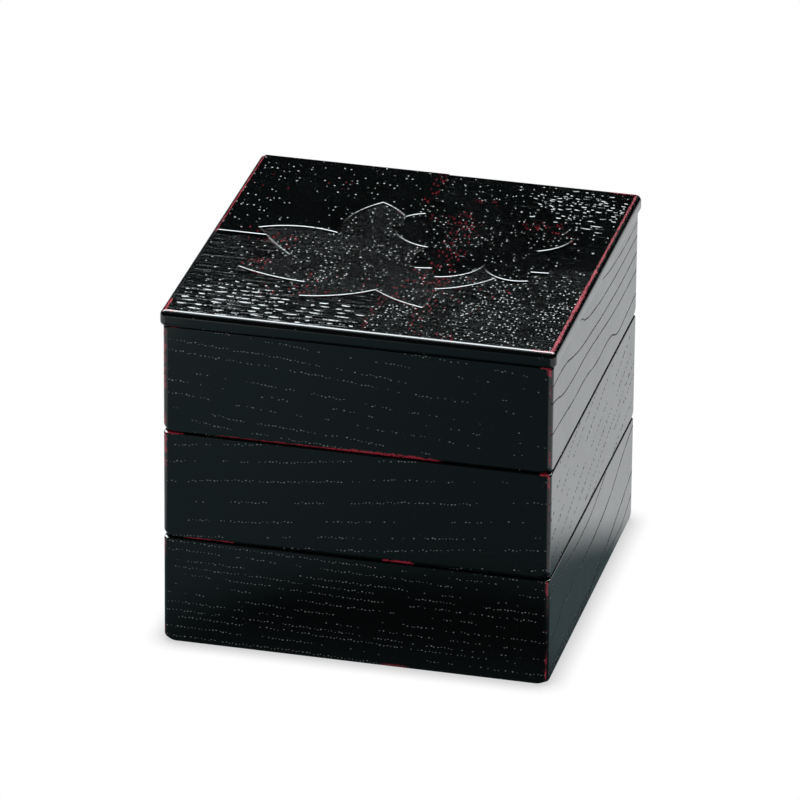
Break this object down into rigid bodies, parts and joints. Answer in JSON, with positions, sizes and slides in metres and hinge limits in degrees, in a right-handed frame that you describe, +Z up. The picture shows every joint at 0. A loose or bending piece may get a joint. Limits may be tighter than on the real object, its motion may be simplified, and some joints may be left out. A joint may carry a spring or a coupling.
{
  "type": "stacking lacquer box",
  "caption": "Square lacquered wooden box of stacking tiers, under a lid with checkered boards and leaves in low relief.",
  "frame": {"origin": "middle of the bottom tier's foot, on the surface that the box stands on", "axes": "+Z up, -Y to the front, +X to the right as seen from the front"},
  "size_m": [0.138, 0.138, 0.1265],
  "materials": {
    "outer_lacquer": "black lacquer over red on open-grained wood, rubbed through at the edges",
    "relief_lacquer": "black lacquer over red on coarse brushed wood, rubbed through at the edges",
    "inner_lacquer": "smooth satin black lacquer"
  },
  "bodies": {
    "bottom_tier": {"bottom_tier_front_board": "outer_lacquer", "bottom_tier_right_board": "outer_lacquer", "bottom_tier_back_board": "outer_lacquer", "bottom_tier_left_board": "outer_lacquer", "bottom_tier_base_board": "inner_lacquer", "bottom_tier_front_lip": "inner_lacquer", "bottom_tier_right_lip": "inner_lacquer", "bottom_tier_back_lip": "inner_lacquer", "bottom_tier_left_lip": "inner_lacquer"},
    "middle_tier": {"middle_tier_front_board": "outer_lacquer", "middle_tier_right_board": "outer_lacquer", "middle_tier_back_board": "outer_lacquer", "middle_tier_left_board": "outer_lacquer", "middle_tier_base_board": "inner_lacquer", "middle_tier_front_lip": "inner_lacquer", "middle_tier_right_lip": "inner_lacquer", "middle_tier_back_lip": "inner_lacquer", "middle_tier_left_lip": "inner_lacquer"},
    "top_tier": {"top_tier_front_board": "outer_lacquer", "top_tier_right_board": "outer_lacquer", "top_tier_back_board": "outer_lacquer", "top_tier_left_board": "outer_lacquer", "top_tier_base_board": "inner_lacquer", "top_tier_front_lip": "inner_lacquer", "top_tier_right_lip": "inner_lacquer", "top_tier_back_lip": "inner_lacquer", "top_tier_left_lip": "inner_lacquer"},
    "lid": {"lid_front_rail": "outer_lacquer", "lid_right_rail": "outer_lacquer", "lid_back_rail": "outer_lacquer", "lid_left_rail": "outer_lacquer", "lid_panel": "inner_lacquer", "lid_front_left_board": "relief_lacquer", "lid_front_right_board": "relief_lacquer", "lid_back_left_board": "relief_lacquer", "lid_back_right_board": "relief_lacquer", "lid_left_leaf": "relief_lacquer", "lid_right_leaf": "relief_lacquer"}
  },
  "joints": [
    {"name": "middle_tier_lift", "type": "slide", "parent": "bottom_tier", "child": "middle_tier", "axis": [0, 0, 1], "range_m": [0, 0.06]},
    {"name": "top_tier_lift", "type": "slide", "parent": "middle_tier", "child": "top_tier", "axis": [0, 0, 1], "range_m": [0, 0.06]},
    {"name": "lid_lift", "type": "slide", "parent": "top_tier", "child": "lid", "axis": [0, 0, 1], "range_m": [0, 0.06]}
  ]
}
